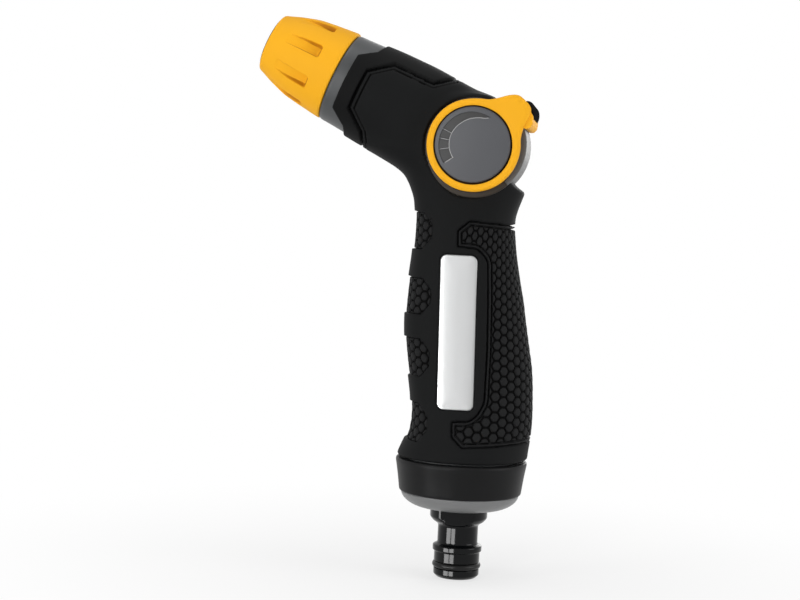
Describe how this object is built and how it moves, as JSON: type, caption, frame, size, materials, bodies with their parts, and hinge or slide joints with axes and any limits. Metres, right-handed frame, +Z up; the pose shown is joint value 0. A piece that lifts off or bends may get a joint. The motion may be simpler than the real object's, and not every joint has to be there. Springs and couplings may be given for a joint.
{
  "type": "hose spray nozzle",
  "caption": "Pistol-shaped hose spray nozzle with an angled twist head, a thumb-lever flow valve, a padded grip and a snap-in hose inlet.",
  "frame": {"origin": "centre of the inlet spigot's end face, where the hose connector goes on", "axes": "+Z up the handle from the inlet, -X towards the side the nozzle points to, +X towards the thumb lever and the palm, Y along the valve axis"},
  "size_m": [0.1017, 0.0464, 0.1933],
  "materials": {
    "yellow_plastic": "satin moulded ABS",
    "skin_rubber": "matt soft-touch rubber",
    "pad_rubber": "matt soft rubber with raised studs",
    "seal_rubber": "smooth nitrile rubber",
    "grey_plastic": "satin moulded ABS",
    "light_grey_plastic": "satin moulded ABS",
    "disc_grey_plastic": "fine satin",
    "black_plastic": "satin",
    "black_gloss_plastic": "gloss",
    "natural_plastic": "natural acetal",
    "silver_plate": "satin",
    "steel": "plated",
    "brass": "turned"
  },
  "bodies": {
    "housing": {"inlet_nipple": "black_gloss_plastic", "inlet_o_ring": "seal_rubber", "nipple_gasket": "seal_rubber", "base_ring": "grey_plastic", "base_cap": "black_plastic", "handle_core": "grey_plastic", "water_tube": "natural_plastic", "tube_o_rings": "seal_rubber", "valve_body": "light_grey_plastic", "seat_spring": "steel", "seat_seal": "seal_rubber", "spool_retainer": "grey_plastic", "grip_skin": "skin_rubber", "finger_pads": "pad_rubber", "palm_pad": "pad_rubber", "side_plate_left": "silver_plate", "side_plate_right": "silver_plate", "head_band": "skin_rubber", "head_collar": "grey_plastic", "nozzle_stem": "black_plastic", "stem_o_rings": "seal_rubber", "sleeve_clip": "steel"},
    "lever": {"valve_spool": "natural_plastic", "spool_o_rings": "seal_rubber", "lever_yoke": "yellow_plastic", "thumb_pad": "pad_rubber", "lever_screws": "steel", "hub_disc_left": "disc_grey_plastic", "hub_disc_right": "disc_grey_plastic"},
    "nozzle": {"sleeve_hub": "natural_plastic", "nozzle_sleeve": "yellow_plastic", "cam_ring": "black_plastic", "nose_insert": "black_plastic"},
    "needle": {"spray_needle": "brass", "drive_pin": "steel"}
  },
  "joints": [
    {"name": "lever_turn", "type": "hinge", "parent": "housing", "child": "lever", "pos_m": [0, 0, 0.151], "axis": [0, 1, 0], "range_deg": [0, 50]},
    {"name": "nozzle_twist", "type": "hinge", "parent": "housing", "child": "nozzle", "pos_m": [0, 0, 0.151], "axis": [-0.9121, 0, 0.4099], "range_deg": [0, 150]},
    {"name": "needle_slide", "type": "slide", "parent": "housing", "child": "needle", "axis": [-0.9121, 0, 0.4099], "range_m": [0, 0.0041]}
  ],
  "couplings": [
    {"joint": "needle_slide", "follows": "nozzle_twist", "m_per_rad": 0.0015279}
  ]
}
